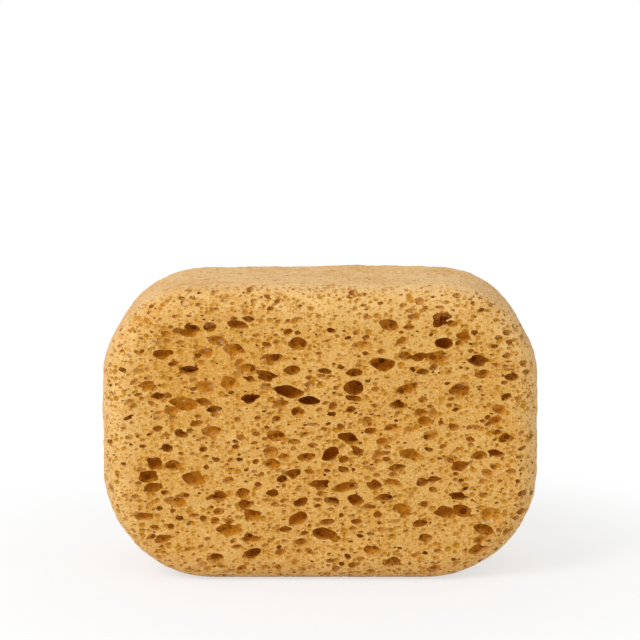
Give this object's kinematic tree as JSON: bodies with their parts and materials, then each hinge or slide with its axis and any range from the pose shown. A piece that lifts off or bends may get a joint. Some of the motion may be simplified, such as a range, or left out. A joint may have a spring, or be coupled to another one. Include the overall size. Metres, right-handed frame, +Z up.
{
  "type": "bath sponge",
  "caption": "Rounded rectangular block of open-cell foam, pitted all over with large and small pores, standing on its long narrow side; for lathering and washing by hand.",
  "frame": {"origin": "on the standing flat, under the middle of the block", "axes": "+Z up from the standing flat, +X along the block's length, +Y from the front broad face to the back one"},
  "size_m": [0.15, 0.06, 0.1035],
  "materials": {
    "foam": "matte honey-yellow open-cell foam"
  },
  "bodies": {
    "root": {"sponge": "foam"}
  },
  "joints": []
}
